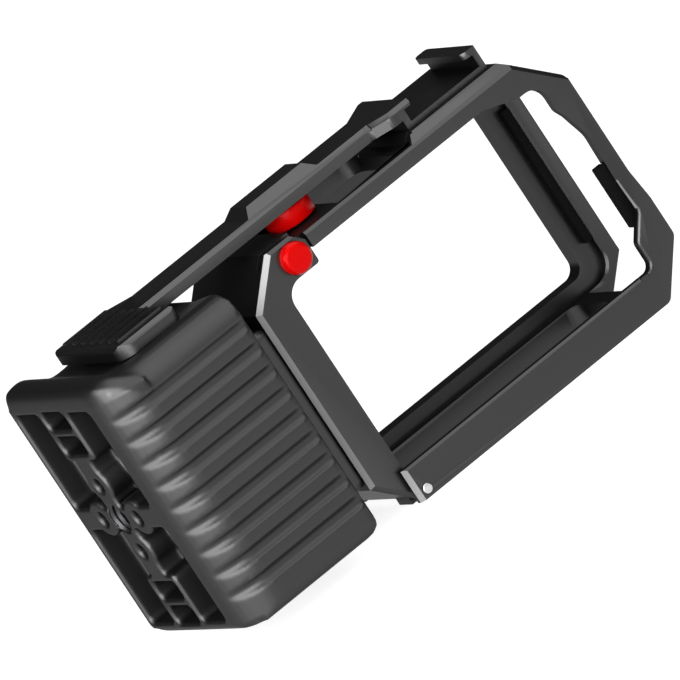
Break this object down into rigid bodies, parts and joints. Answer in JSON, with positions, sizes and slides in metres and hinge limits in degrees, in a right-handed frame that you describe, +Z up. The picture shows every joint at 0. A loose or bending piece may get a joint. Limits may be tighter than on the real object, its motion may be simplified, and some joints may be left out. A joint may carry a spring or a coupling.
{
  "type": "camera cage",
  "caption": "Cage for a small action camera: ribbed side grip with a tripod thread, top arm with thumb rest and cold shoe, and a front frame that swings open.",
  "frame": {"origin": "centre of the 1/4 inch hole on the grip's end face", "axes": "+X from the grip along the cage, +Y to the back, away from the lens side, +Z up, towards the cold shoe"},
  "size_m": [0.128, 0.0479, 0.0674],
  "materials": {
    "grip": "matte, ribbed",
    "frame": "black anodised, satin",
    "door": "black anodised, satin",
    "red": "red anodised, satin",
    "steel": "turned, bright",
    "rubber": "matte"
  },
  "bodies": {
    "frame": {"grip_body": "grip", "thread_insert": "frame", "root_block": "frame", "grip_bolts": "steel", "root_dowels": "steel", "main_frame": "frame", "top_arm": "frame", "arm_screws": "steel", "back_pad": "rubber", "left_pad": "rubber", "hinge_pin": "steel", "pin_clip": "steel", "wheel_stud": "steel", "wheel_washer": "steel", "wheel_nut": "steel"},
    "door": {"front_frame": "door", "front_pad": "rubber"},
    "button": {"release_button": "red", "button_stem": "steel", "button_spring": "steel", "button_clip": "steel"},
    "wheel": {"lock_wheel": "red"}
  },
  "joints": [
    {"name": "door_hinge", "type": "hinge", "parent": "frame", "child": "door", "pos_m": [0.0529, -0.0138, -0.03105], "axis": [0, 1, 0], "range_deg": [0, 95]},
    {"name": "button_press", "type": "slide", "parent": "frame", "child": "button", "axis": [0, 1, 0], "range_m": [0, 0.0014], "stiffness_N_per_m": 800, "deforming": ["button_spring"]},
    {"name": "wheel_spin", "type": "hinge", "parent": "frame", "child": "wheel", "pos_m": [0.0667, 0.0005, 0.0273], "axis": [0, 0, 1], "continuous": true}
  ]
}
